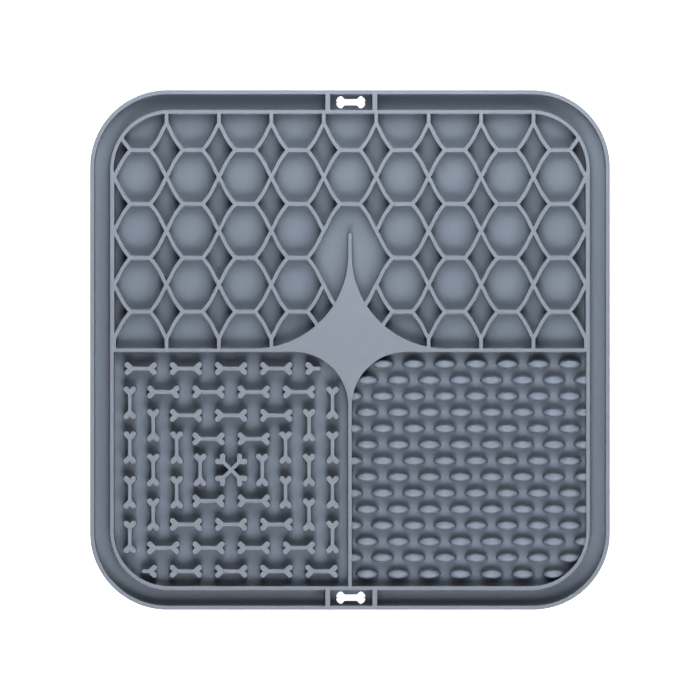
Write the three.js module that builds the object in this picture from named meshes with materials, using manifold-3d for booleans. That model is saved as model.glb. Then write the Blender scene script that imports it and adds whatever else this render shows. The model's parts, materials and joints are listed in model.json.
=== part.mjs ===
import * as THREE from 'three';
import { mergeVertices } from 'three/addons/utils/BufferGeometryUtils.js';
import Module from 'manifold-3d';

const wasm = await Module();
wasm.setup();

// A lick mat for pets: a square silicone mat, moulded in one piece, that lies flat on its plain back.
// Sizes are in millimetres. X points to the right edge, Y to the top edge and Z up, and the origin
// is at the middle of the back.

// The sheet, with its rim, gutter and inner wall from the edge inwards
const side = 200;
const height = 8;
const baseThickness = 2.2;
const cornerRadius = 29.7;
const rimWidth = 1.6;
const gutterWidth = 6;
const innerWallWidth = 1.6;
const innerWallRadius = 22.8;

// The dividing walls and the four-pointed star where they meet
const dividerWidth = 1.6;
const dividerY = -0.1;
const stemWidth = 1.5;
const spikeTop = 45.3;
const upperSweep = 36;
const lowerSweep = 20.9;

// The honeycomb net: forks are the ends of its short walls, crossings are where its slanted walls meet
const netWall = 1.45;
const netColumns = 9;
const netRows = 4;
const netPitchX = 20.17;
const netPitchY = 20.73;
const forkSpan = 7.9;
const lowestForkY = 14.7;
const wideCellRow = 1;

// The field of bones
const boneFieldX = -45.7;
const boneFieldY = -46.15;
const boneRings = 4;
const innerRing = 11.95;
const ringStep = 9.02;
const rowPitch = 17.4;
const columnPitch = 17.2;
const boneSize = { halfLength: 6.2, shank: 1.5, lobeRadius: 1.05, lobeSpan: 2.95, notch: 0.85 };
const crossHalfLength = 7.1;
const stubX = 1.1;
const lobeSteps = 3;
const notchShare = 0.4;

// The field of oval nubs
const nubLength = 8.2;
const nubWidth = 3.6;
const nubHeight = 5;
const nubShoulder = { scale: 0.8, up: 4.2 };
const nubSides = 8;
const nubRows = 14;
const nubsInRow = 8;
const nubPitchX = 12;
const nubPitchY = 6.22;
const firstNubX = 0.6;
const firstNubY = -5.2;

// The hang tabs at the top and bottom edges, each with two cross ribs and a bone-shaped hole
const tabX = 0.5;
const tabWidth = 23;
const tabGap = 0.3;
const ribWidth = 1.95;
const ribSpan = 18.1;
const holeX = 0.3;
const holeSize = { halfLength: 5.55, shank: 2.95, lobeRadius: 1.8, lobeSpan: 1.4, notch: 0.2 };

const arcSteps = 8;
const cutMargin = 1;
const aboveTop = height + cutMargin;
const rimInner = side / 2 - rimWidth;
const wallOuter = rimInner - gutterWidth;
const wallInner = wallOuter - innerWallWidth;
const wallMiddle = wallOuter - innerWallWidth / 2;
const innerFieldRadius = innerWallRadius - innerWallWidth;

function solidOf(geometry) {
  geometry.deleteAttribute('normal');
  geometry.deleteAttribute('uv');
  const merged = mergeVertices(geometry);
  const vertProperties = merged.attributes.position.array;
  const triVerts = new Uint32Array(merged.index.array);
  return new wasm.Manifold(new wasm.Mesh({ numProp: 3, vertProperties, triVerts }));
}

function join(solids) {
  return solids.reduce((all, solid) => all.add(solid));
}

function prism(shape, bottom, top) {
  const settings = { depth: top - bottom, bevelEnabled: false, curveSegments: arcSteps };
  return solidOf(new THREE.ExtrudeGeometry(shape, settings).translate(0, 0, bottom));
}

function polygon(corners) {
  return new THREE.Shape(corners.map(([x, y]) => new THREE.Vector2(x, y)));
}

function rectangle(left, right, bottom, top) {
  return polygon([[left, bottom], [right, bottom], [right, top], [left, top]]);
}

function roundedSquare(half, radius) {
  const flat = half - radius;
  const shape = new THREE.Shape();
  shape.absarc(flat, flat, radius, 0, Math.PI / 2);
  shape.absarc(-flat, flat, radius, Math.PI / 2, Math.PI);
  shape.absarc(-flat, -flat, radius, Math.PI, Math.PI * 1.5);
  shape.absarc(flat, -flat, radius, Math.PI * 1.5, Math.PI * 2);
  return shape;
}

// Moves each side of an outline inwards, so that two neighbours leave a wall of twice the distance.
function inset(corners, distance) {
  const count = corners.length;
  const sides = corners.map(([x, y], i) => {
    const [nextX, nextY] = corners[(i + 1) % count];
    const along = new THREE.Vector2(nextX - x, nextY - y).normalize();
    return { x: x - along.y * distance, y: y + along.x * distance, along };
  });
  return sides.map((line, i) => {
    const before = sides[(i + count - 1) % count];
    const turn = before.along.cross(line.along);
    const apart = new THREE.Vector2(line.x - before.x, line.y - before.y);
    const step = apart.cross(line.along) / turn;
    return [before.x + before.along.x * step, before.y + before.along.y * step];
  });
}

// The divider, its stem to the bottom wall, the spike above and the concave sweeps that make the star.
function starOutline() {
  const top = dividerY + dividerWidth / 2;
  const bottom = dividerY - dividerWidth / 2;
  const half = stemWidth / 2;
  const shape = new THREE.Shape();
  shape.moveTo(-wallMiddle, top);
  shape.lineTo(-half - upperSweep, top);
  shape.absarc(-half - upperSweep, top + upperSweep, upperSweep, -Math.PI / 2, 0);
  shape.absarc(0, spikeTop - half, half, Math.PI, 0, true);
  shape.absarc(half + upperSweep, top + upperSweep, upperSweep, Math.PI, Math.PI * 1.5);
  shape.lineTo(wallMiddle, top);
  shape.lineTo(wallMiddle, bottom);
  shape.absarc(half + lowerSweep, bottom - lowerSweep, lowerSweep, Math.PI / 2, Math.PI);
  shape.lineTo(half, -wallMiddle);
  shape.lineTo(-half, -wallMiddle);
  shape.absarc(-half - lowerSweep, bottom - lowerSweep, lowerSweep, 0, Math.PI / 2);
  shape.lineTo(-wallMiddle, bottom);
  return shape;
}

// A cell of the net: a hexagon with flat ends, or a diamond where the flat is 0. A reach of 2 makes it
// as wide and tall as two cells.
function cellCorners(x, y, flat, reach = 1) {
  const slant = (netPitchX - forkSpan) / 2;
  const halfHeight = (reach * netPitchY) / 2;
  const halfWidth = flat / 2 + reach * slant;
  const upper = flat > 0 ? [[flat / 2, halfHeight], [-flat / 2, halfHeight]] : [[0, halfHeight]];
  const lower = upper.map(([cornerX, cornerY]) => [-cornerX, -cornerY]);
  const corners = [[halfWidth, 0], ...upper, [-halfWidth, 0], ...lower];
  return corners.map(([cornerX, cornerY]) => [x + cornerX, y + cornerY]);
}

// The half cell between the outermost row of short walls and a straight wall above (1) or below it (-1).
function halfCellCorners(x, forkY, direction) {
  const crossing = forkY + (direction * netPitchY) / 2;
  const beyond = forkY + direction * netPitchY;
  const rightSide = [[forkSpan / 2, forkY], [netPitchX / 2, crossing], [netPitchX / 2, beyond]];
  const leftSide = rightSide.map(([cornerX, cornerY]) => [-cornerX, cornerY]).reverse();
  const corners = [...rightSide, ...leftSide].map(([cornerX, cornerY]) => [x + cornerX, cornerY]);
  return direction > 0 ? corners : corners.reverse();
}

// All the hollows of the net. The spike stands in one wide cell.
function netCells() {
  const outlines = [];
  const lastColumn = (netColumns - 1) / 2;
  const forkY = (row) => lowestForkY + row * netPitchY;
  for (let column = -lastColumn; column <= lastColumn; column += 1) {
    const x = column * netPitchX;
    for (let row = 0; row < netRows - 1; row += 1) {
      outlines.push(cellCorners(x, forkY(row) + netPitchY / 2, forkSpan));
    }
    outlines.push(halfCellCorners(x, forkY(netRows - 1), 1));
    outlines.push(halfCellCorners(x, forkY(0), -1));
  }
  for (let between = -lastColumn - 0.5; between <= lastColumn + 0.5; between += 1) {
    for (let row = 0; row < netRows; row += 1) {
      outlines.push(cellCorners(between * netPitchX, forkY(row), 0));
    }
  }
  outlines.push(cellCorners(0, forkY(wideCellRow), forkSpan, 2));
  const hollow = (corners) => prism(polygon(inset(corners, netWall / 2)), baseThickness, aboveTop);
  return join(outlines.map(hollow));
}

// The end of a bone that points along +X, from the shank's top edge round both lobes to its lower edge.
// The shank flares at 45 degrees to each lobe, an arc that stops short of the notch between them.
function boneEnd(size) {
  const lobeX = size.halfLength - size.lobeRadius;
  const back = Math.PI * 0.75;
  const front = -Math.asin(Math.min(Math.SQRT1_2, (notchShare * size.lobeSpan) / size.lobeRadius));
  const upper = [];
  for (let i = 0; i <= lobeSteps; i += 1) {
    const angle = back + ((front - back) * i) / lobeSteps;
    const x = lobeX + size.lobeRadius * Math.cos(angle);
    upper.push([x, size.lobeSpan / 2 + size.lobeRadius * Math.sin(angle)]);
  }
  const [flareX, flareY] = upper[0];
  upper.unshift([flareX - (flareY - size.shank / 2), size.shank / 2]);
  const lower = upper.map(([x, y]) => [x, -y]).reverse();
  return [...upper, [size.halfLength - size.notch, 0], ...lower];
}

function boneOutline(size) {
  const right = boneEnd(size);
  const left = right.map(([x, y]) => [-x, -y]);
  return polygon([...right, ...left]);
}

// Half a bone: one end with its lobes, and a shank that stops in a round stub before the middle.
function halfBoneOutline(size) {
  const half = size.shank / 2;
  const stub = [];
  for (let i = 0; i <= lobeSteps; i += 1) {
    const angle = -Math.PI / 2 - (Math.PI * i) / lobeSteps;
    stub.push([stubX + half * Math.cos(angle), half * Math.sin(angle)]);
  }
  return polygon([...boneEnd(size), ...stub]);
}

function placed(solid, x, y, degrees = 0) {
  return solid.rotate([0, 0, degrees]).translate([x, y, 0]);
}

// Square rings of bones round a crossed pair. Two bones that a wall would cut are halves.
function bones() {
  const raised = (outline) => prism(outline, baseThickness / 2, height);
  const bone = raised(boneOutline(boneSize));
  const halfBone = raised(halfBoneOutline(boneSize));
  const crossBone = raised(boneOutline({ ...boneSize, halfLength: crossHalfLength }));
  const all = [45, -45].map((degrees) => placed(crossBone, boneFieldX, boneFieldY, degrees));
  for (let ring = 1; ring <= boneRings; ring += 1) {
    const away = innerRing + (ring - 1) * ringStep;
    for (const part of [-1, 1]) {
      for (let i = 0; i <= ring; i += 1) {
        const x = boneFieldX + (i - ring / 2) * rowPitch;
        const y = boneFieldY + part * away;
        const atStar = ring === boneRings && part > 0 && i === ring;
        const atCorner = ring === boneRings && part < 0 && i === 0;
        if (atStar) all.push(placed(halfBone, x, y, 180));
        else if (atCorner) all.push(placed(halfBone, x, y));
        else all.push(placed(bone, x, y));
      }
      for (let i = 0; i < ring; i += 1) {
        const y = boneFieldY + (i - (ring - 1) / 2) * columnPitch;
        all.push(placed(bone, boneFieldX + part * away, y, 90));
      }
    }
  }
  return join(all);
}

// Staggered rows of domed ovals. The walls round the field cut the ones at its edges.
function nubs() {
  const foot = -baseThickness / 2;
  const profile = [[0, foot], [1, foot], [1, 0], [nubShoulder.scale, nubShoulder.up], [0, nubHeight]];
  const points = profile.map(([radius, up]) => new THREE.Vector2(radius, up));
  const dome = new THREE.LatheGeometry(points, nubSides).rotateX(Math.PI / 2);
  const nub = solidOf(dome.scale(nubLength / 2, nubWidth / 2, 1).translate(0, 0, baseThickness));
  const all = [];
  for (let row = 0; row < nubRows; row += 1) {
    const shift = (row % 2) * (nubPitchX / 2);
    for (let i = 0; i < nubsInRow; i += 1) {
      all.push(placed(nub, firstNubX + shift + i * nubPitchX, firstNubY - row * nubPitchY));
    }
  }
  const insideWalls = prism(roundedSquare(wallMiddle, innerWallRadius - innerWallWidth / 2), 0, height);
  return join(all).intersect(insideWalls).intersect(prism(rectangle(0, side, -side, 0), 0, height));
}

// The stretch of rim, gutter and inner wall that a hang tab takes, grown by a margin all round.
function tabBlock(margin) {
  const half = tabWidth / 2 + margin;
  const outline = rectangle(tabX - half, tabX + half, wallInner - margin, side / 2 + margin);
  return prism(outline, -margin, height + margin);
}

// The mat without its hang tabs: a block less the gutter and the hollows of the three fields.
function matSolid() {
  const block = prism(roundedSquare(side / 2, cornerRadius), 0, height);
  const gutterOutline = roundedSquare(rimInner, cornerRadius - rimWidth);
  const wallOutline = roundedSquare(wallOuter, innerWallRadius);
  const gutter = prism(gutterOutline, baseThickness, aboveTop).subtract(prism(wallOutline, 0, aboveTop));
  const innerField = prism(roundedSquare(wallInner, innerFieldRadius), baseThickness, aboveTop);
  const lowerFields = prism(rectangle(-side, side, -side, dividerY), baseThickness, aboveTop);
  const upperField = prism(rectangle(-side, side, dividerY, side), baseThickness, aboveTop);
  const hollows = netCells().intersect(upperField).add(lowerFields).intersect(innerField);
  const sheet = block.subtract(gutter).subtract(hollows.subtract(prism(starOutline(), 0, aboveTop)));
  const raised = sheet.add(bones()).add(nubs());
  const tabSpace = tabBlock(tabGap);
  return raised.subtract(tabSpace).subtract(atBottom(tabSpace));
}

// A hang tab at the top edge: rim, inner wall and two ribs round a floor with a bone-shaped hole.
function tabSolid() {
  const ribOuter = (ribSpan + ribWidth) / 2;
  const ribInner = (ribSpan - ribWidth) / 2;
  const gutterParts = [[-tabWidth, -ribOuter], [-ribInner, ribInner], [ribOuter, tabWidth]].map(
    ([left, right]) => prism(rectangle(left, right, wallOuter, rimInner), baseThickness, aboveTop),
  );
  const hole = placed(prism(boneOutline(holeSize), -cutMargin, aboveTop), holeX, (wallOuter + rimInner) / 2);
  return tabBlock(0).subtract(placed(join(gutterParts), tabX, 0)).subtract(hole);
}

// Turns a tab over to the bottom edge, the same way up.
function atBottom(solid) {
  return solid.mirror([0, 1, 0]);
}

function silicone() {
  return new THREE.MeshStandardMaterial({ color: 0x8f9ba8, roughness: 0.6, metalness: 0 });
}

function meshOf(name, solid) {
  const { vertProperties, triVerts } = solid.getMesh();
  const geometry = new THREE.BufferGeometry();
  geometry.setAttribute('position', new THREE.BufferAttribute(vertProperties, 3));
  geometry.setIndex(new THREE.BufferAttribute(triVerts, 1));
  geometry.computeVertexNormals();
  const mesh = new THREE.Mesh(geometry, silicone());
  mesh.name = name;
  return mesh;
}

const lickMat = new THREE.Group();
const tab = tabSolid();
lickMat.add(meshOf('mat', matSolid()));
lickMat.add(meshOf('hang_tab_top', tab));
lickMat.add(meshOf('hang_tab_bottom', atBottom(tab)));

export default lickMat;
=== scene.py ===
# A square silicone lick mat, moulded in one piece, lying on a light table and seen from straight above
import json
import math
import bmesh
import bpy
from mathutils import Matrix, Vector

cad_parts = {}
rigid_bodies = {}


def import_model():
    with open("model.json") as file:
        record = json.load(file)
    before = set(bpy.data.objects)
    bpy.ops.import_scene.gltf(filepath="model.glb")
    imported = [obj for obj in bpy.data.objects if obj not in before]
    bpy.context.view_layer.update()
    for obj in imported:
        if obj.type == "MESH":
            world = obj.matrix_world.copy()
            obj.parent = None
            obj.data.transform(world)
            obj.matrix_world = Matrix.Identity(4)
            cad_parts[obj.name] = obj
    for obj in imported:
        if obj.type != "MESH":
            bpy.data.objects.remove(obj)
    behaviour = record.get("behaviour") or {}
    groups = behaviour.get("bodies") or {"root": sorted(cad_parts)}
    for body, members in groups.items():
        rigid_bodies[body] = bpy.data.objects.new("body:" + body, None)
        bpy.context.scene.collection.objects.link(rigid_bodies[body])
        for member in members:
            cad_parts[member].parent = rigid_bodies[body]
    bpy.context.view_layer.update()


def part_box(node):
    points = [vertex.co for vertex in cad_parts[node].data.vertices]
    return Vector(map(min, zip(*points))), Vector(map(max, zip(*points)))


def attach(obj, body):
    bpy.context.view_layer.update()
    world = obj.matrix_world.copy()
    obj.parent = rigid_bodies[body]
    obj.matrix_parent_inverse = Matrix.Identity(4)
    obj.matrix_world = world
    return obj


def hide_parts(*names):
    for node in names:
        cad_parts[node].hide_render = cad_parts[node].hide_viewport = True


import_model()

closeEnough = 0.005  # picking by place allows this many millimetres
levelEnough = 0.9  # a face is level when its normal points this much up or down


def mm(size):  # sizes are written in millimetres, but for those of the lights
    return size / 1000


def inMm(length):
    return length * 1000


# Hand tools: one piece at a time in edit mode, picking by place, carving with modifiers
def takeUp(piece):
    bpy.ops.object.select_all(action="DESELECT")
    piece.select_set(True)
    bpy.context.view_layer.objects.active = piece


def openPiece(piece):
    takeUp(piece)
    bpy.ops.object.mode_set(mode="EDIT")


def closePiece():
    bpy.ops.object.mode_set(mode="OBJECT")
    return bpy.context.object


def pick(kind, wanted):
    mode = {"verts": "VERT", "edges": "EDGE", "faces": "FACE"}[kind]
    bpy.ops.mesh.select_mode(type=mode)
    bpy.ops.mesh.select_all(action="DESELECT")
    cage = bmesh.from_edit_mesh(bpy.context.edit_object.data)
    for part in getattr(cage, kind):
        part.select_set(wanted(part))
    cage.select_flush_mode()
    bmesh.update_edit_mesh(bpy.context.edit_object.data)


def pickAll():
    bpy.ops.mesh.select_mode(type="VERT")
    bpy.ops.mesh.select_all(action="SELECT")


def openNew():  # the shape that was just added, with all of it picked
    openPiece(bpy.context.object)
    pickAll()


def middle(part):
    return sum((v.co for v in part.verts), Vector()) / len(part.verts)


def near(value, wanted):
    return abs(value - wanted) < mm(closeEnough)


def facesUp(face):
    return face.normal.z > levelEnough


def facesDown(face):
    return face.normal.z < -levelEnough


def moveBy(x, y, z):
    bpy.ops.transform.translate(value=(x, y, z))


def turnBy(angle):
    bpy.ops.transform.rotate(value=angle, orient_axis="Z", center_override=(0, 0, 0))


def scaleBy(x, y, centre=(0, 0, 0)):
    bpy.ops.transform.resize(value=(x, y, 1), center_override=centre)


def pullEdges(x, y):
    bpy.ops.mesh.extrude_edges_move(TRANSFORM_OT_translate={"value": (x, y, 0)})


def raiseBy(height):
    bpy.ops.mesh.extrude_region_move(TRANSFORM_OT_translate={"value": (0, 0, height)})


def raiseAll(height):  # a flat outline becomes a closed block
    pickAll()
    raiseBy(height)
    pickAll()
    bpy.ops.mesh.normals_make_consistent(inside=False)


def roundPoints(reach, count):  # rounds the corners that are picked
    bpy.ops.mesh.bevel(offset=reach, segments=count, affect="VERTICES")


def step(inwards, onwards):  # in millimetres
    bpy.ops.mesh.inset(thickness=mm(inwards), depth=mm(onwards), use_even_offset=True)


def quarterRound(radius, count):  # two legs for each step: one grows along it and the other shrinks
    turn = math.pi / 2 / count
    for i in range(count):
        growing = radius * (math.cos(i * turn) - math.cos((i + 1) * turn))
        shrinking = radius * (math.sin((i + 1) * turn) - math.sin(i * turn))
        yield growing, shrinking


def roundOver(radius, count):  # from an upright side to a flat face
    for growing, shrinking in quarterRound(radius, count):
        step(growing, shrinking)


def roundUp(radius, count):  # from a flat face to an upright side
    for growing, shrinking in quarterRound(radius, count):
        step(shrinking, growing)


def applied(piece, kind, **settings):
    takeUp(piece)
    bpy.ops.object.modifier_add(type=kind)
    modifier = piece.modifiers[-1]
    for setting, value in settings.items():
        setattr(modifier, setting, value)
    bpy.ops.object.modifier_apply(modifier=modifier.name)


def carve(piece, tool, how):
    applied(piece, "BOOLEAN", operation=how, object=tool, solver="MANIFOLD")
    bpy.data.objects.remove(tool)
    return piece


def joined(name, pieces):
    takeUp(pieces[0])
    for piece in pieces:
        piece.select_set(True)
    bpy.ops.object.join()
    piece = bpy.context.object
    piece.name = name
    piece.data.name = name
    return piece


def copyAt(piece, x, y, degrees=0):
    twin = piece.copy()
    twin.data = piece.data.copy()
    bpy.context.scene.collection.objects.link(twin)
    place = Matrix.Translation((mm(x), mm(y), 0)) @ Matrix.Rotation(math.radians(degrees), 4, "Z")
    twin.data.transform(place)
    return twin


# The sheet: outline, rim, gutter and inner wall. Its overall size is the frame's.
lowest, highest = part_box("mat")
sheet = {
    "half": inMm(highest[0] - lowest[0]) / 2,
    "height": inMm(highest[2] - lowest[2]),
    "floor": 2.2,
    "corner": 29.7,
    "cornerSteps": 36,
    "rim": 1.6,
    "gutter": 6,
    "innerWall": 1.5,
    "innerCorner": 22.8,
    "draft": 0.1,  # how much wider a wall is on each side at its foot than at its top
    "topRound": 0.16,
    "footRound": 0.25,
    "edgeRound": 0.4,
    "roundSteps": 3,
    "spare": 1,  # how far a cutter reaches past what it cuts
    "straight": 0.5,  # degrees: smaller bends in an outline are taken out
    "shortest": 0.35,  # shorter edges of an outline are closed up
    "wallSide": 1,  # half diamonds end in one point when their ends are this near the inner wall
    "blunt": 150,  # degrees: sharper corners of an outline are kept as they are
    "leeway": 1.05,  # how many times the reach of its round a corner keeps free of other points
    "thinnings": 4,  # how often the outlines are gone over for such points
    "smooth": 40,  # degrees: sharper bends of the finished mat show as edges
}
floor, height, spare = sheet["floor"], sheet["height"], sheet["spare"]
rimInner = sheet["half"] - sheet["rim"]
wallOuter = rimInner - sheet["gutter"]
wallInner = wallOuter - sheet["innerWall"]
wallMiddle = wallOuter - sheet["innerWall"] / 2
wallCorner = sheet["innerCorner"] - sheet["innerWall"]
crest = sheet["topRound"]  # hollows are drawn out to the flat tops of their walls, so this much wider


def plate(half, corner, low, high):
    bpy.ops.mesh.primitive_plane_add(size=mm(2 * half), location=(0, 0, 0))
    openNew()
    roundPoints(mm(corner), sheet["cornerSteps"])
    pickAll()
    moveBy(0, 0, mm(low))
    raiseAll(mm(high - low))
    return closePiece()


def block(left, right, bottom, top, low, high):
    bpy.ops.mesh.primitive_plane_add(size=1)
    openNew()
    scaleBy(mm(right - left), mm(top - bottom))
    moveBy(mm(left + right) / 2, mm(bottom + top) / 2, mm(low))
    raiseAll(mm(high - low))
    return closePiece()


def cutOff(piece, y, side):  # keeps what lies below y where side is 1, or above it where side is -1
    openPiece(piece)
    pickAll()
    bpy.ops.mesh.bisect(plane_co=(0, mm(y), 0), plane_no=(0, side, 0), use_fill=True, clear_outer=True)
    return closePiece()


def crowdsCorner(vert):  # stands so near a sharp corner that the round at the foot would pass it
    blunt = math.radians(sheet["blunt"])
    inwards = mm(sheet["topRound"] + sheet["draft"] + sheet["footRound"])
    if vert.link_loops[0].calc_angle() < blunt:
        return False
    for edge in vert.link_edges:
        corner = edge.other_vert(vert).link_loops[0].calc_angle()
        if corner < blunt and edge.calc_length() < sheet["leeway"] * inwards / math.tan(corner / 2):
            return True
    return False


def isShortEnd(edge):  # the blunt end of a half diamond beside the inner wall
    besideWall = abs(middle(edge).x) > mm(wallInner - sheet["wallSide"])
    return besideWall and edge.calc_length() < mm(net["wall"] / 2)


def onlyOutlines(piece):  # the floors of the hollows alone, each one clean face
    openPiece(piece)
    pick("faces", lambda f: not facesDown(f))
    bpy.ops.mesh.delete(type="FACE")
    pickAll()
    bpy.ops.mesh.dissolve_limited(angle_limit=math.radians(sheet["straight"]))
    pickAll()
    bpy.ops.mesh.remove_doubles(threshold=mm(sheet["shortest"]))
    pick("edges", isShortEnd)
    bpy.ops.mesh.merge(type="COLLAPSE")
    for sweep in range(sheet["thinnings"]):
        pick("verts", crowdsCorner)
        bpy.ops.mesh.dissolve_verts()
    return closePiece()


def easedHollows(piece):  # outlines become hollows: a round at the top, the draft, a round at the foot
    openPiece(piece)
    raiseAll(mm(height + spare - floor))
    pick("faces", facesDown)
    moveBy(0, 0, mm(height - floor))
    roundUp(sheet["topRound"], sheet["roundSteps"])
    step(sheet["draft"], height - floor - sheet["topRound"] - sheet["footRound"])
    roundOver(sheet["footRound"], sheet["roundSteps"])
    return closePiece()


# The dividing walls, filleted into a four-pointed star where they cross
star = {
    "divider": 1.4,
    "dividerY": -0.06,
    "stem": 1.5,
    "tip": 45.3,
    "upperSweep": 36,
    "lowerSweep": 20.9,
    "sweepSteps": 28,
    "tipSteps": 6,
    "weld": 0.001,  # points this near each other become one
}


def starBody():
    halfStem, halfBar = mm(star["stem"] / 2 - crest), mm(star["divider"] / 2 - crest)
    tip = mm(star["tip"] - crest)
    barY = mm(star["dividerY"])
    top, bottom = barY + halfBar, barY - halfBar
    bpy.ops.mesh.primitive_plane_add(size=1)
    openNew()
    scaleBy(2 * halfStem, 2 * halfBar)
    moveBy(0, barY, mm(floor - spare))
    for side in (-1, 1):
        pick("edges", lambda e: near(middle(e).x, side * halfStem))
        pullEdges(side * mm(wallMiddle), 0)
    pick("edges", lambda e: near(middle(e).y, top) and near(middle(e).x, 0))
    pullEdges(0, tip - top)
    pick("edges", lambda e: near(middle(e).y, bottom) and near(middle(e).x, 0))
    pullEdges(0, -mm(wallMiddle))
    pickAll()
    bpy.ops.mesh.dissolve_faces()
    for edgeY, sweep in ((top, star["upperSweep"]), (bottom, star["lowerSweep"])):
        pick("verts", lambda v: near(abs(v.co.x), halfStem) and near(v.co.y, edgeY))
        roundPoints(mm(sweep + crest), star["sweepSteps"])
    pick("verts", lambda v: near(v.co.y, tip))
    roundPoints(halfStem, star["tipSteps"])
    pickAll()
    bpy.ops.mesh.remove_doubles(threshold=mm(star["weld"]))
    raiseAll(mm(height + 3 * spare - floor))
    return closePiece()


# The honeycomb: hexagons with flat ends, diamonds between them, and one wide cell round the spike.
# Forks are the ends of its level walls, and its slanted walls cross halfway between the rows of forks.
net = {
    "wall": 1.54,
    "pitchX": 20.18,
    "pitchY": 20.73,
    "forkSpan": 7.7,
    "lowestFork": 14.73,
    "columns": 9,
    "rows": 4,
    "wideRow": 1,  # the row of forks, counted from 0, at the middle of the wide cell
    "bow": 0.6,
    "cuts": 7,
}
slant = (net["pitchX"] - net["forkSpan"]) / 2
farColumn = (net["columns"] - 1) / 2


def forkY(row):
    return net["lowestFork"] + row * net["pitchY"]


def cell(x, y, flat, reach=1):  # its outline on the walls' middles: a circle of few points, squared up
    halfWidth = flat / 2 + reach * slant
    halfHeight = reach * net["pitchY"] / 2
    corners, peak = (6, math.sin(math.pi / 3)) if flat else (4, 1)
    bpy.ops.mesh.primitive_circle_add(vertices=corners, radius=mm(halfWidth), fill_type="NOTHING")
    openNew()
    turnBy(math.pi / 2)
    pick("verts", lambda v: not near(v.co.y, 0))
    scaleBy(flat / halfWidth if flat else 1, halfHeight / halfWidth / peak)
    pickAll()
    moveBy(mm(x), mm(y), mm(floor))


def halfCell(x, row, direction):  # beyond the outermost forks, with straight walls past the crossings
    cell(x, forkY(row) + direction * net["pitchY"] / 2, net["forkSpan"])
    far = mm(forkY(row) + direction * net["pitchY"])
    pick("verts", lambda v: near(v.co.y, far))
    scaleBy(net["pitchX"] / net["forkSpan"], 1, (mm(x), far, 0))


def bowed(piece):  # the slanted walls swell outwards, most of all between a fork and a crossing
    for v in piece.data.vertices:
        across = math.sin(2 * math.pi * v.co.x / mm(net["pitchX"]))
        along = math.sin(2 * math.pi * (v.co.y - mm(net["lowestFork"])) / mm(net["pitchY"]))
        v.co.x += mm(net["bow"]) * across * abs(along)
    return piece


def hollowed():  # the outline in hand is cut finer, bowed, filled, drawn in by half a wall and raised
    pickAll()
    bpy.ops.mesh.subdivide(number_cuts=net["cuts"])
    openPiece(bowed(closePiece()))
    pickAll()
    bpy.ops.mesh.edge_face_add()
    bpy.ops.mesh.select_mode(type="FACE")
    step(net["wall"] / 2 - crest, 0)
    bpy.ops.mesh.select_all(action="INVERT")
    bpy.ops.mesh.delete(type="FACE")
    raiseAll(mm(height + spare - floor))
    return closePiece()


def inRows(piece, countX, countY=1):
    for count, offset in ((countX, (mm(net["pitchX"]), 0, 0)), (countY, (0, mm(net["pitchY"]), 0))):
        applied(piece, "ARRAY", count=count, use_relative_offset=False, use_constant_offset=True,
                constant_offset_displace=offset)
    return piece


def dropAt(piece, spots):  # removes the copies round these spots
    openPiece(piece)
    for x, y in spots:
        spot = Vector((mm(x), mm(y)))
        pick("verts", lambda v: (v.co.xy - spot).length < mm(net["pitchY"] / 2))
        bpy.ops.mesh.select_linked()
        bpy.ops.mesh.delete(type="VERT")
    closePiece()


def netHollows():
    left = -farColumn * net["pitchX"]
    wideY = forkY(net["wideRow"])
    halfUp, halfAcross = net["pitchY"] / 2, net["pitchX"] / 2
    cell(left, forkY(0) + halfUp, net["forkSpan"])
    hexagons = inRows(hollowed(), net["columns"], net["rows"] - 1)
    dropAt(hexagons, [(0, wideY - halfUp), (0, wideY + halfUp)])
    cell(left - halfAcross, forkY(0), 0)
    diamonds = inRows(hollowed(), net["columns"] + 1, net["rows"])
    dropAt(diamonds, [(-halfAcross, wideY), (halfAcross, wideY)])
    halfCell(left, net["rows"] - 1, 1)
    upper = inRows(hollowed(), net["columns"])
    halfCell(left, 0, -1)
    lower = inRows(hollowed(), net["columns"])
    cell(0, wideY, net["forkSpan"], reach=2)
    wide = hollowed()
    return joined("hollows", [hexagons, diamonds, upper, lower, wide])


# The field of bones: square rings of them round a crossed pair, and two that are halves
bones = {
    "x": -45.75,
    "y": -46.15,
    "rings": 4,
    "firstRing": 11.95,
    "ringStep": 9.02,
    "rowPitch": 17.4,
    "columnPitch": 17.2,
    "top": 8,
    "shank": 1.5,
    "lobe": 1.1,
    "lobeX": 5.2,
    "lobeY": 1.42,
    "lobeSteps": 5,
    "notch": 0.05,
    "crossLobeX": 6.05,
    "stubX": 0.35,
    "draft": 0.08,
    "topRound": 0.16,
    "footRound": 0.16,
    "roundSteps": 3,
    "sunk": 0.04,  # how far below the floor its foot begins
    "weld": 0.01,
}


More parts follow.
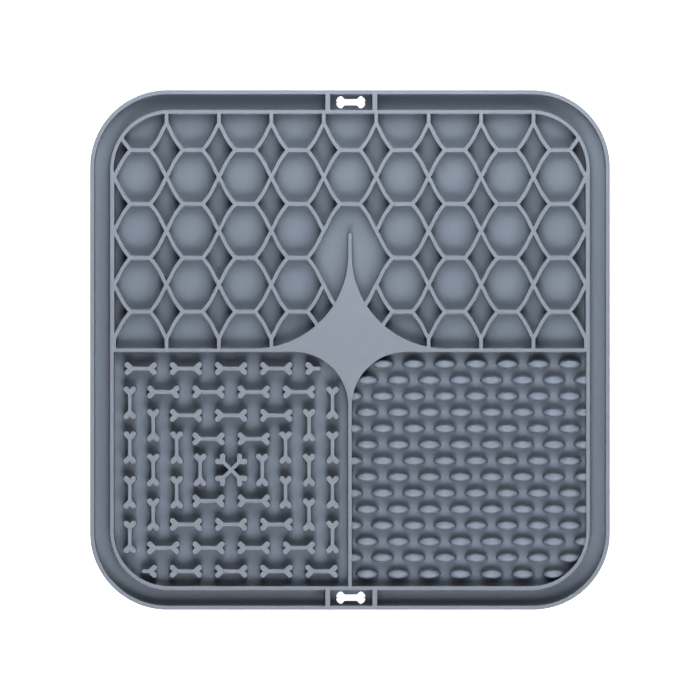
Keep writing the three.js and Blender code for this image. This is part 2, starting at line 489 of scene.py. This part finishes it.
def boneEnd(shape, grown, level, backX):  # a square on its point sends out two round arms and a shank
    armHalf, shankHalf = mm(shape["lobe"] + grown), mm(shape["shank"] / 2 + grown)
    forkX, diagonal = mm(shape["lobeX"] - shape["lobeY"]), mm(shape["lobeY"])
    bpy.ops.mesh.primitive_plane_add(size=2 * armHalf)
    openNew()
    turnBy(math.pi / 4)
    moveBy(forkX, 0, mm(level))
    armX = armHalf * math.sqrt(0.5)
    for side in (-1, 1):
        pick("edges", lambda e: near(middle(e).x - forkX, armX) and middle(e).y * side > 0)
        pullEdges(diagonal, side * diagonal)
        roundPoints(armHalf, bones["lobeSteps"])
    notchX = forkX + armHalf * math.sqrt(2)
    pick("verts", lambda v: near(v.co.x, notchX) and near(v.co.y, 0))
    moveBy(-mm(shape["notch"]), 0, 0)
    cutX = forkX - armHalf * math.sqrt(2) + shankHalf
    pickAll()
    bpy.ops.mesh.bisect(plane_co=(cutX, 0, 0), plane_no=(1, 0, 0), clear_inner=True)
    pick("edges", lambda e: near(middle(e).x, cutX))
    pullEdges(mm(backX) - cutX, 0)


def otherEnd():  # the same end again, turned round
    pickAll()
    bpy.ops.mesh.duplicate()
    turnBy(math.pi)


def asOneFace():
    pickAll()
    bpy.ops.mesh.remove_doubles(threshold=mm(bones["weld"]))
    bpy.ops.mesh.dissolve_faces()


def raisedBone():  # the outline in hand becomes a finished bone, with a round at its foot and at its top
    asOneFace()
    below = bones["sunk"] / 2
    raiseAll(mm(below))
    pick("faces", facesUp)
    roundUp(bones["footRound"], bones["roundSteps"])
    step(bones["draft"], bones["top"] - floor + below - bones["footRound"] - bones["topRound"])
    roundOver(bones["topRound"], bones["roundSteps"])
    return closePiece()


def wholeBone(shape):
    boneEnd(shape, bones["footRound"] + bones["draft"], floor - bones["sunk"], 0)
    otherEnd()
    return raisedBone()


def halfBone():  # its shank stops in a round stub
    grown = bones["footRound"] + bones["draft"]
    boneEnd(bones, grown, floor - bones["sunk"], bones["stubX"] - grown)
    roundPoints(mm(bones["shank"] / 2 + grown), bones["lobeSteps"])
    return raisedBone()


def boneField():
    bone, half = wholeBone(bones), halfBone()
    crossBone = wholeBone({**bones, "lobeX": bones["crossLobeX"]})
    crossed = copyAt(crossBone, bones["x"], bones["y"], 45)
    carve(crossed, copyAt(crossBone, bones["x"], bones["y"], -45), "UNION")
    laid = [crossed]
    for ring in range(1, bones["rings"] + 1):
        away = bones["firstRing"] + (ring - 1) * bones["ringStep"]
        outermost = ring == bones["rings"]
        for side in (-1, 1):
            for i in range(ring + 1):
                x = bones["x"] + (i - ring / 2) * bones["rowPitch"]
                y = bones["y"] + side * away
                if outermost and side > 0 and i == ring:
                    laid.append(copyAt(half, x, y, 180))
                elif outermost and side < 0 and i == 0:
                    laid.append(copyAt(half, x, y))
                else:
                    laid.append(copyAt(bone, x, y))
            for i in range(ring):
                y = bones["y"] + (i - (ring - 1) / 2) * bones["columnPitch"]
                laid.append(copyAt(bone, bones["x"] + side * away, y, 90))
    for pattern in (bone, half, crossBone):
        bpy.data.objects.remove(pattern)
    return joined("bones", laid)


# The field of oval nubs, in staggered rows, cut by the walls at its edges
nubs = {
    "length": 9,
    "width": 3.45,
    "height": 4.8,
    "rows": 14,
    "inRow": 8,
    "pitchX": 12,
    "pitchY": 6.22,
    "firstX": 0.6,
    "firstY": -5.4,
    "sides": 20,
    "rings": 6,
    "fullnessAlong": 3,  # 2 is an ellipse seen from the side, and more is boxier
    "fullnessAcross": 4.8,
    "footRound": 0.1,
    "footSteps": 2,
    "sunk": 0.04,  # how far below the floor its foot begins
}


def oneNub():  # a dome on an oval foot, steep below and round above
    foot, along, across = nubs["footRound"], nubs["fullnessAlong"], nubs["fullnessAcross"]
    halfLength, halfWidth = nubs["length"] / 2 + foot, nubs["width"] / 2 + foot
    bpy.ops.mesh.primitive_circle_add(vertices=nubs["sides"], radius=mm(halfLength), fill_type="NGON")
    openNew()
    scaleBy(1, halfWidth / halfLength)
    moveBy(0, 0, mm(floor - nubs["sunk"]))
    raiseAll(mm(nubs["sunk"] / 2))
    pick("faces", facesUp)
    roundUp(foot, nubs["footSteps"])
    rise = nubs["height"] + nubs["sunk"] / 2 - foot
    long, wide, level = 1, 1, 0  # the ring in hand, as shares of the whole nub
    for i in range(1, nubs["rings"]):
        turn = math.pi / 2 * i / nubs["rings"]
        nextWide = math.cos(turn) ** (2 / across)
        nextLevel = math.sin(turn) ** (2 / across)
        nextLong = (1 - nextLevel ** along) ** (1 / along)
        raiseBy(mm(rise * (nextLevel - level)))
        scaleBy(nextLong / long, nextWide / wide)
        long, wide, level = nextLong, nextWide, nextLevel
    raiseBy(mm(rise * (1 - level)))
    bpy.ops.mesh.merge(type="CENTER")
    return closePiece()


def nubField():
    nub = oneNub()
    laid = []
    for row in range(nubs["rows"]):
        y = nubs["firstY"] - row * nubs["pitchY"]
        shift = (row % 2) * nubs["pitchX"] / 2
        for i in range(nubs["inRow"]):
            laid.append(copyAt(nub, nubs["firstX"] + shift + i * nubs["pitchX"], y))
    bpy.data.objects.remove(nub)
    field = joined("nubs", laid)
    space = plate(wallMiddle, wallCorner + sheet["innerWall"] / 2, 0, height + spare)
    quarter = block(0, wallMiddle + spare, -wallMiddle - spare, 0, -spare, height + 2 * spare)
    carve(space, quarter, "INTERSECT")
    return carve(field, space, "INTERSECT")


# The hang tabs, at the top and the bottom: two ribs across the gutter, with a bone-shaped hole between
tabs = {
    "x": 0.5,
    "ribSpan": 18.1,
    "rib": 1.95,
}
hole = {
    "x": 0.3,
    "inwards": -0.05,  # from the middle of the gutter
    "shank": 2.5,
    "lobe": 1.5,
    "lobeX": 3.95,
    "lobeY": 0.72,
    "notch": 0.2,
    "top": 3.4,  # how high its cutter stands
    "edge": 0.1,
    "edgeSteps": 3,
    "above": 0.005,  # its rounded edge begins this far above the floor
}


def gutterHollow():
    gutter = plate(rimInner + crest, sheet["corner"] - sheet["rim"] + crest, floor, height + spare)
    island = plate(wallOuter - crest, sheet["innerCorner"] - crest, floor - spare, height + 2 * spare)
    carve(gutter, island, "DIFFERENCE")
    half, halfRib = sheet["half"], tabs["rib"] / 2 - crest
    for side in (-1, 1):
        ribX = tabs["x"] + side * tabs["ribSpan"] / 2
        rib = block(ribX - halfRib, ribX + halfRib, -half, half, floor - spare, height + 2 * spare)
        carve(gutter, rib, "DIFFERENCE")
    return gutter


def hangHoles():  # their upper edges are rounded a little
    boneEnd(hole, hole["edge"], floor + hole["above"], 0)
    otherEnd()
    asOneFace()
    raiseAll(mm(hole["top"] - floor))
    pick("faces", facesDown)
    roundUp(hole["edge"], hole["edgeSteps"])
    raiseBy(-mm(floor + spare))
    cutter = closePiece()
    middleY = (wallOuter + rimInner) / 2 - hole["inwards"]
    both = joined("holes", [copyAt(cutter, hole["x"], middleY), copyAt(cutter, hole["x"], -middleY)])
    bpy.data.objects.remove(cutter)
    return both


# The whole mat, put together as it is moulded
def fieldHollows():
    half, corner, dividerY = wallInner + crest, wallCorner + crest, star["dividerY"]
    upper = cutOff(plate(half, corner, floor - spare, height + 2 * spare), dividerY, -1)
    cells = carve(netHollows(), upper, "INTERSECT")
    carve(cells, starBody(), "DIFFERENCE")
    lower = cutOff(plate(half, corner, floor, height + spare), dividerY, 1)
    carve(lower, starBody(), "DIFFERENCE")
    return joined("fields", [cells, lower])


def moulded():
    mat = plate(sheet["half"], sheet["corner"], 0, height)
    openPiece(mat)
    pick("faces", facesDown)
    moveBy(0, 0, mm(sheet["edgeRound"]))
    roundOver(sheet["edgeRound"], sheet["roundSteps"])
    pick("faces", facesUp)
    moveBy(0, 0, -mm(sheet["topRound"]))
    roundOver(sheet["topRound"], sheet["roundSteps"])
    closePiece()
    hollows = joined("hollows", [fieldHollows(), gutterHollow()])
    carve(mat, easedHollows(onlyOutlines(hollows)), "DIFFERENCE")
    print("walls and hollows done")
    carve(mat, hangHoles(), "DIFFERENCE")
    carve(mat, boneField(), "UNION")
    print("bones done")
    carve(mat, nubField(), "UNION")
    print("nubs done")
    mat.name = mat.data.name = "lick_mat"
    return mat


lickMat = moulded()
takeUp(lickMat)
bpy.ops.object.shade_smooth_by_angle(angle=math.radians(sheet["smooth"]))
applied(lickMat, "WEIGHTED_NORMAL", keep_sharp=True)
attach(lickMat, "root")
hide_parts("mat", "hang_tab_top", "hang_tab_bottom")


# Shader sums are written as sums: a Value is one socket, and its operators add the Math nodes
class Value:
    def __init__(self, paint, socket):
        self.paint = paint
        self.socket = socket

    def reckon(self, operation, first, second):
        return self.paint.node("ShaderNodeMath", {"operation": operation}, {0: first, 1: second})

    def __add__(self, other):
        return self.reckon("ADD", self, other)

    def __radd__(self, other):
        return self.reckon("ADD", other, self)

    def __sub__(self, other):
        return self.reckon("SUBTRACT", self, other)

    def __rsub__(self, other):
        return self.reckon("SUBTRACT", other, self)

    def __mul__(self, other):
        return self.reckon("MULTIPLY", self, other)

    def __rmul__(self, other):
        return self.reckon("MULTIPLY", other, self)


class Paint:  # the nodes of a material or of the world round it, and the shader that they feed
    def __init__(self, owner, shader):
        owner.use_nodes = True
        self.owner = owner
        self.tree = owner.node_tree
        self.shader = self.tree.nodes[shader]

    def feed(self, socket, value):
        if isinstance(value, Value):
            self.tree.links.new(value.socket, socket)
        else:
            socket.default_value = value

    def node(self, kind, settings, sockets, output=0):
        node = self.tree.nodes.new(kind)
        for setting, value in settings.items():
            setattr(node, setting, value)
        for socket, value in sockets.items():
            self.feed(node.inputs[socket], value)
        return Value(self, node.outputs[output])

    def noise(self, place, size, detail):  # 0 to 1, with lumps about as large as size in millimetres
        sockets = {"Vector": place, "Scale": 1 / mm(size), "Detail": detail}
        return self.node("ShaderNodeTexNoise", {}, sockets)

    def ramp(self, value, start, end, low=0, high=1):
        sockets = {"Value": value, "From Min": start, "From Max": end, "To Min": low, "To Max": high}
        return self.node("ShaderNodeMapRange", {"interpolation_type": "SMOOTHSTEP"}, sockets)

    def mix(self, share, first, second):  # a Mix node keeps its colours at sockets 6 and 7, and gives 2
        return self.node("ShaderNodeMix", {"data_type": "RGBA"}, {0: share, 6: first, 7: second}, 2)

    def finish(self, **sockets):
        for socket, value in sockets.items():
            self.feed(self.shader.inputs[socket.replace("_", " ")], value)
        return self.owner


# The silicone: matte blue grey, faintly uneven, with a fine moulded grain, a painted sheen that makes
# the tops lighter and greyer, glossier tops, and some dust
silicone = {
    "colour": (0.157, 0.178, 0.208, 1),
    "cloudSize": 28,
    "cloud": 0.05,
    "blotchSize": 3.5,
    "blotch": 0.04,
    "grainSize": 0.16,
    "grainDepth": 0.006,
    "rippleSize": 1.3,
    "rippleDepth": 0.012,
    "roughness": 0.52,
    "cloudRoughness": 0.1,
    "blotchRoughness": 0.12,
    "refraction": 1.41,
    "paintedSheenFrom": 7.3,  # height at which the painted sheen on the tops, and their lower roughness, begin
    # painted sheen: the colour and the lift in tone painted onto the tops
    "paintedSheenColour": (0.158, 0.173, 0.195, 1),
    "paintedSheenTone": 0.04,
    "topsRoughness": -0.07,
    "dust": 0.45,
    "dustColour": (0.42, 0.43, 0.44, 1),
    "dustSpacing": 3.2,
    "dustSize": 0.09,
    "dustFrom": -0.05,  # it lies where the clouds and blotches are light
    "dustFull": 0.15,
    "dustRoughness": 0.3,
}


def paintSilicone():
    look = silicone
    paint = Paint(bpy.data.materials.new("silicone"), "Principled BSDF")
    place = paint.node("ShaderNodeTexCoord", {}, {}, "Object")
    level = paint.node("ShaderNodeSeparateXYZ", {}, {"Vector": place}, "Z")
    cloud = paint.noise(place, look["cloudSize"], detail=3) - 0.5
    blotch = paint.noise(place, look["blotchSize"], detail=4) - 0.5
    grain = paint.noise(place, look["grainSize"], detail=2)
    ripple = paint.noise(place, look["rippleSize"], detail=2)
    # painted sheen: the tops are painted lighter and greyer, and are also made glossier
    paintedSheenAndGloss = paint.ramp(level, mm(look["paintedSheenFrom"]), mm(height))
    spots = {"Vector": place, "Scale": 1 / mm(look["dustSpacing"])}
    fromSpeck = paint.node("ShaderNodeTexVoronoi", {}, spots, "Distance")
    speckSize = look["dustSize"] / look["dustSpacing"]
    specks = 1 - paint.ramp(fromSpeck, speckSize / 2, speckSize)
    dust = specks * paint.ramp(cloud + blotch, look["dustFrom"], look["dustFull"]) * look["dust"]
    tone = 1 + cloud * look["cloud"] + blotch * look["blotch"] + paintedSheenAndGloss * look["paintedSheenTone"]
    colour = paint.mix(paintedSheenAndGloss, look["colour"], look["paintedSheenColour"])
    toned = paint.node("ShaderNodeVectorMath", {"operation": "SCALE"}, {0: colour, "Scale": tone})
    dusted = paint.mix(dust, toned, look["dustColour"])
    rough = look["roughness"] + cloud * look["cloudRoughness"] + blotch * look["blotchRoughness"]
    rough = rough + dust * look["dustRoughness"] + paintedSheenAndGloss * look["topsRoughness"]
    relief = grain * mm(look["grainDepth"]) + ripple * mm(look["rippleDepth"])
    bumps = paint.node("ShaderNodeBump", {}, {"Strength": 1, "Distance": 1, "Height": relief}, "Normal")
    return paint.finish(Base_Color=dusted, Roughness=rough, Normal=bumps, IOR=look["refraction"])


lickMat.data.materials.clear()
lickMat.data.materials.append(paintSilicone())
print("silicone done")

# The light table: a plain white sheet lit from below, as for a catalogue picture
lightTable = {
    "size": 6000,
    "drop": 0.05,
    "colour": (0.25, 0.25, 0.25, 1),
    "roughness": 0.8,
    "glowColour": (1, 1, 1, 1),
    "glow": 1,
}


def paintTable():
    paint = Paint(bpy.data.materials.new("light table"), "Principled BSDF")
    return paint.finish(Base_Color=lightTable["colour"], Roughness=lightTable["roughness"],
                        Emission_Color=lightTable["glowColour"], Emission_Strength=lightTable["glow"])


bpy.ops.object.select_all(action="DESELECT")
bpy.ops.mesh.primitive_plane_add(size=mm(lightTable["size"]), location=(0, 0, -mm(lightTable["drop"])))
table = bpy.context.object
table.name = "light_table"
table.data.materials.append(paintTable())

# The studio: soft boxes in front of the mat and beside it, small ones close behind it, and a white cove
# all round. Turn and lift are in degrees, the rest in metres and watts.
softBoxes = {
    "front": {"turn": 270, "lift": 38, "away": 1.2, "width": 1, "depth": 0.4, "power": 7.1},
    "front high": {"turn": 270, "lift": 58, "away": 1.2, "width": 0.6, "depth": 0.4, "power": 11.8},
    "front right": {"turn": 315, "lift": 42, "away": 1.2, "width": 0.6, "depth": 0.5, "power": 6.3},
    "front left": {"turn": 225, "lift": 28, "away": 1.2, "width": 0.6, "depth": 0.4, "power": 2.9},
    "left": {"turn": 180, "lift": 35, "away": 0.6, "width": 0.5, "depth": 0.3, "power": 0.58},
    "back high": {"turn": 90, "lift": 70, "away": 1.2, "width": 0.4, "depth": 0.4, "power": 4},
    "back near": {"turn": 90, "lift": 50, "away": 0.5, "width": 0.3, "depth": 0.2, "power": 1.4},
    "back low": {"turn": 90, "lift": 25, "away": 0.32, "width": 0.34, "depth": 0.12, "power": 0.67},
    "back right": {"turn": 45, "lift": 40, "away": 0.5, "width": 0.3, "depth": 0.2, "power": 0.55},
}
cove = {
    "colour": (1, 1, 1, 1),
    "top": 0.14,  # heights are sines of the angle above the horizon
    "softness": 0.1,
    "glow": 1,
    "roomGlow": 0.045,
}


def hangSoftBox(name, turn, lift, away, width, depth, power):
    light = bpy.data.lights.new(name, "AREA")
    light.shape = "RECTANGLE"
    light.size = width
    light.size_y = depth
    light.energy = power
    lamp = bpy.data.objects.new(name, light)
    turn, lift = math.radians(turn), math.radians(lift)
    ground = away * math.cos(lift)
    lamp.location = (ground * math.cos(turn), ground * math.sin(turn), away * math.sin(lift))
    lamp.rotation_euler = lamp.location.to_track_quat("Z", "Y").to_euler()
    lamp.visible_camera = False
    bpy.context.scene.collection.objects.link(lamp)


def paintCove():
    paint = Paint(bpy.data.worlds.new("white cove"), "Background")
    place = paint.node("ShaderNodeTexCoord", {}, {}, "Generated")
    level = paint.node("ShaderNodeSeparateXYZ", {}, {"Vector": place}, "Z")
    glow = paint.ramp(level, cove["top"], cove["top"] + cove["softness"], cove["glow"], cove["roomGlow"])
    return paint.finish(Color=cove["colour"], Strength=glow)


for name, box in softBoxes.items():
    hangSoftBox(name, **box)
bpy.context.scene.world = paintCove()

# The camera looks straight down, from so far away that the walls hide nothing
view = {
    "width": 269.4,
    "y": -0.02,
    "lens": 800,
    "sensor": 36,
    "farthest": 20000,
    "gamma": 0.65,  # low, for a contrasty print
}
camera = bpy.data.cameras.new("camera")
camera.lens = view["lens"]
camera.sensor_width = view["sensor"]
camera.clip_end = mm(view["farthest"])
eye = bpy.data.objects.new("camera", camera)
eye.location = (0, mm(view["y"]), mm(height + view["width"] * view["lens"] / view["sensor"]))
bpy.context.scene.collection.objects.link(eye)
bpy.context.scene.camera = eye
bpy.context.scene.view_settings.view_transform = "Standard"
bpy.context.scene.view_settings.gamma = view["gamma"]
print("studio done")
